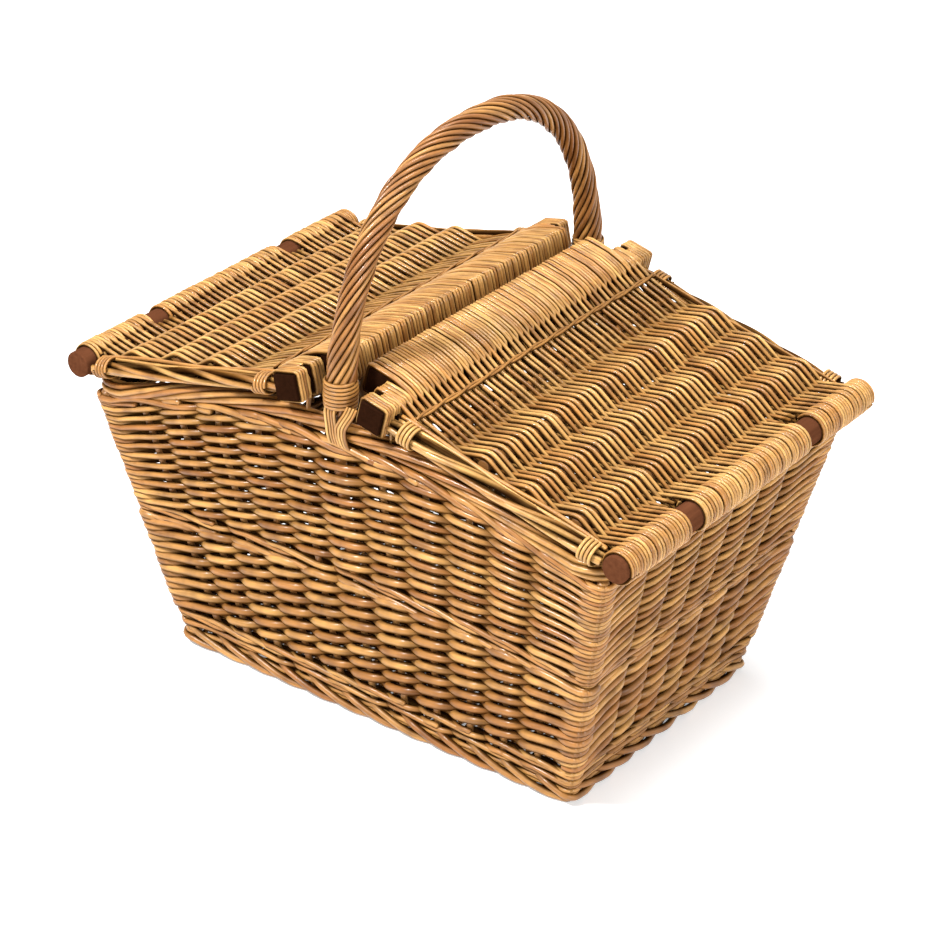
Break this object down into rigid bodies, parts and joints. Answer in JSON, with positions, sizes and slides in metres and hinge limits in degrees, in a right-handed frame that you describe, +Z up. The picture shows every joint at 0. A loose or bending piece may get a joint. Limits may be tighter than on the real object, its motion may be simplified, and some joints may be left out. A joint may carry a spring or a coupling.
{
  "type": "picnic hamper",
  "caption": "Woven willow picnic hamper with tapering walls, an arched rim, a fixed rope handle over the middle and sloping lids hinged at the handle.",
  "frame": {"origin": "on the floor, under the middle of the basket", "axes": "+X along the hamper towards the right lid, +Y across it towards the back wall, +Z up"},
  "size_m": [0.5444, 0.362, 0.498],
  "materials": {
    "willow_weave": "golden-brown varnished willow rods, woven",
    "willow_stake": "golden-brown varnished willow rods, upright",
    "willow_border": "golden-brown varnished willow rods, rolled",
    "willow_rope": "golden-brown varnished willow rods, twisted",
    "willow_lid_weave": "fine golden varnished willow rods, woven one by one",
    "willow_binding": "split cane and fine willow, varnished",
    "dark_bar": "dark stained wood, varnished",
    "brown_stick": "red-brown stained wood, varnished"
  },
  "bodies": {
    "basket": {"foot_wale": "willow_weave", "base_weave": "willow_weave", "base_stick_1": "willow_stake", "base_stick_2": "willow_stake", "base_stick_3": "willow_stake", "base_stick_4": "willow_stake", "base_stick_5": "willow_stake", "front_weave": "willow_weave", "back_weave": "willow_weave", "left_weave": "willow_weave", "right_weave": "willow_weave", "front_stakes": "willow_stake", "back_stakes": "willow_stake", "left_stakes": "willow_stake", "right_stakes": "willow_stake", "corner_post_front_left": "willow_stake", "corner_post_front_right": "willow_stake", "corner_post_back_left": "willow_stake", "corner_post_back_right": "willow_stake", "rim_border": "willow_border", "handle_bow": "willow_stake", "handle_rope": "willow_rope", "handle_collar_front": "willow_binding", "handle_collar_back": "willow_binding", "handle_lashing_front_a": "willow_binding", "handle_lashing_front_b": "willow_binding", "handle_lashing_back_a": "willow_binding", "handle_lashing_back_b": "willow_binding", "hinge_loop_left_front": "willow_binding", "hinge_loop_left_back": "willow_binding", "hinge_loop_right_front": "willow_binding", "hinge_loop_right_back": "willow_binding"},
    "left_lid": {"left_lid_inner_bar": "dark_bar", "left_lid_tongue_bar": "dark_bar", "left_lid_outer_stick": "brown_stick", "left_lid_weave": "willow_lid_weave", "left_lid_cross_stick_1": "willow_stake", "left_lid_cross_stick_2": "willow_stake", "left_lid_cross_stick_3": "willow_stake", "left_lid_cross_stick_4": "willow_stake", "left_lid_border_front": "willow_border", "left_lid_border_back": "willow_border", "left_lid_binding_front_inner": "willow_binding", "left_lid_binding_front_outer": "willow_binding", "left_lid_binding_back_inner": "willow_binding", "left_lid_binding_back_outer": "willow_binding"},
    "right_lid": {"right_lid_inner_bar": "dark_bar", "right_lid_tongue_bar": "dark_bar", "right_lid_outer_stick": "brown_stick", "right_lid_weave": "willow_lid_weave", "right_lid_cross_stick_1": "willow_stake", "right_lid_cross_stick_2": "willow_stake", "right_lid_cross_stick_3": "willow_stake", "right_lid_cross_stick_4": "willow_stake", "right_lid_border_front": "willow_border", "right_lid_border_back": "willow_border", "right_lid_binding_front_inner": "willow_binding", "right_lid_binding_front_outer": "willow_binding", "right_lid_binding_back_inner": "willow_binding", "right_lid_binding_back_outer": "willow_binding"}
  },
  "joints": [
    {"name": "left_lid_hinge", "type": "hinge", "parent": "basket", "child": "left_lid", "pos_m": [-0.04, 0, 0.312], "axis": [0, 1, 0], "range_deg": [0, 108]},
    {"name": "right_lid_hinge", "type": "hinge", "parent": "basket", "child": "right_lid", "pos_m": [0.04, 0, 0.312], "axis": [0, -1, 0], "range_deg": [0, 108]}
  ]
}
